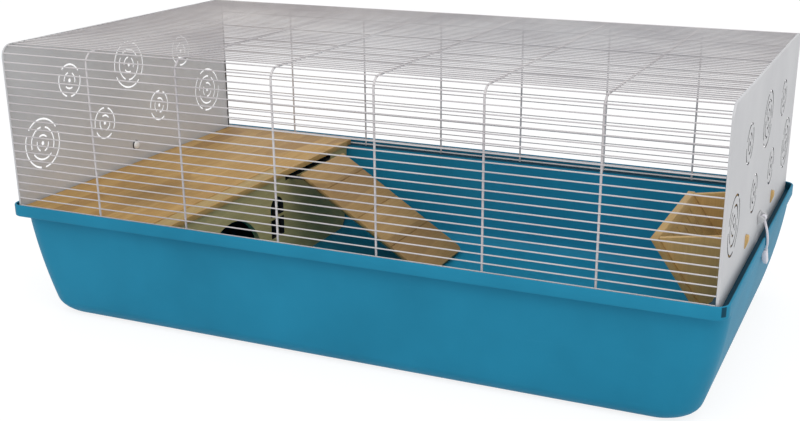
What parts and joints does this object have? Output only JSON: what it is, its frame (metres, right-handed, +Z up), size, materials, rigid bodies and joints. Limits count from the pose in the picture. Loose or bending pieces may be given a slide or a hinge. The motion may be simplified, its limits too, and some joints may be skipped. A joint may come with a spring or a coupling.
{
  "type": "small animal cage",
  "caption": "Long indoor pet cage: deep moulded tray, clipped wire top with openwork sheet ends, wooden shelf over a nest, hooked ramp and hay rack.",
  "frame": {"origin": "bottom centre of the tray's underside, on the surface the cage stands on", "axes": "+X along the cage's length towards the hay rack, +Y to the back, +Z up"},
  "size_m": [1.034, 0.569, 0.401],
  "materials": {
    "tray_plastic": "moulded teal-blue plastic, satin",
    "white_wire": "white powder-coated steel wire",
    "white_sheet": "white powder-coated sheet steel",
    "white_plastic": "white moulded plastic",
    "shelf_wood": "light softwood with a faint block-wise grain",
    "olive_wood": "olive-brown board",
    "rack_wood": "brown plywood",
    "black_steel": "black painted strip steel"
  },
  "bodies": {
    "tray": {"tray_floor": "tray_plastic", "tray_front_ledge": "tray_plastic", "tray_front_rim": "tray_plastic", "tray_back_ledge": "tray_plastic", "tray_back_rim": "tray_plastic", "tray_left_ledge": "tray_plastic", "tray_left_rim_front": "tray_plastic", "tray_front_left_ledge_corner": "tray_plastic", "tray_front_left_rim_corner": "tray_plastic", "tray_left_rim_back": "tray_plastic", "tray_back_left_ledge_corner": "tray_plastic", "tray_back_left_rim_corner": "tray_plastic", "tray_right_ledge": "tray_plastic", "tray_right_rim_front": "tray_plastic", "tray_front_right_ledge_corner": "tray_plastic", "tray_front_right_rim_corner": "tray_plastic", "tray_right_rim_back": "tray_plastic", "tray_back_right_ledge_corner": "tray_plastic", "tray_back_right_rim_corner": "tray_plastic", "tray_front_wall": "tray_plastic", "tray_back_wall": "tray_plastic", "tray_left_wall": "tray_plastic", "tray_right_wall": "tray_plastic", "tray_front_left_corner": "tray_plastic", "tray_front_right_corner": "tray_plastic", "tray_back_left_corner": "tray_plastic", "tray_back_right_corner": "tray_plastic"},
    "wire_top": {"front_grille": "white_wire", "back_grille": "white_wire", "roof_grille": "white_wire", "front_corner_grille": "white_wire", "back_corner_grille": "white_wire", "right_end_panel": "white_sheet", "left_end_panel": "white_sheet", "right_clip_bracket": "white_plastic", "left_clip_bracket": "white_plastic"},
    "right_clip": {"right_clip": "white_plastic"},
    "left_clip": {"left_clip": "white_plastic"},
    "house": {"shelf_board": "shelf_wood", "shelf_inlay": "olive_wood", "shelf_peg_front": "shelf_wood", "shelf_peg_back": "shelf_wood", "partition_board": "olive_wood"},
    "ramp": {"ramp_board": "shelf_wood", "ramp_hook_front": "black_steel", "ramp_hook_back": "black_steel"},
    "hay_rack": {"rack_front": "rack_wood", "rack_side_front": "rack_wood", "rack_side_back": "rack_wood"}
  },
  "joints": [
    {"name": "wire_top_lift", "type": "slide", "parent": "tray", "child": "wire_top", "axis": [0, 0, 1], "range_m": [0, 0.3]},
    {"name": "right_clip_swing", "type": "hinge", "parent": "wire_top", "child": "right_clip", "pos_m": [0.5062, 0, 0.196], "axis": [0, -1, 0], "range_deg": [0, 100]},
    {"name": "left_clip_swing", "type": "hinge", "parent": "wire_top", "child": "left_clip", "pos_m": [-0.5062, 0, 0.196], "axis": [0, 1, 0], "range_deg": [0, 100]},
    {"name": "house_lift", "type": "slide", "parent": "tray", "child": "house", "axis": [0, 0, 1], "range_m": [0, 0.12]},
    {"name": "ramp_raise", "type": "hinge", "parent": "house", "child": "ramp", "pos_m": [-0.2559, 0.125, 0.151], "axis": [0, -1, 0], "range_deg": [0, 22]},
    {"name": "hay_rack_pull", "type": "slide", "parent": "wire_top", "child": "hay_rack", "axis": [-1, 0, 0], "range_m": [0, 0.05]}
  ]
}
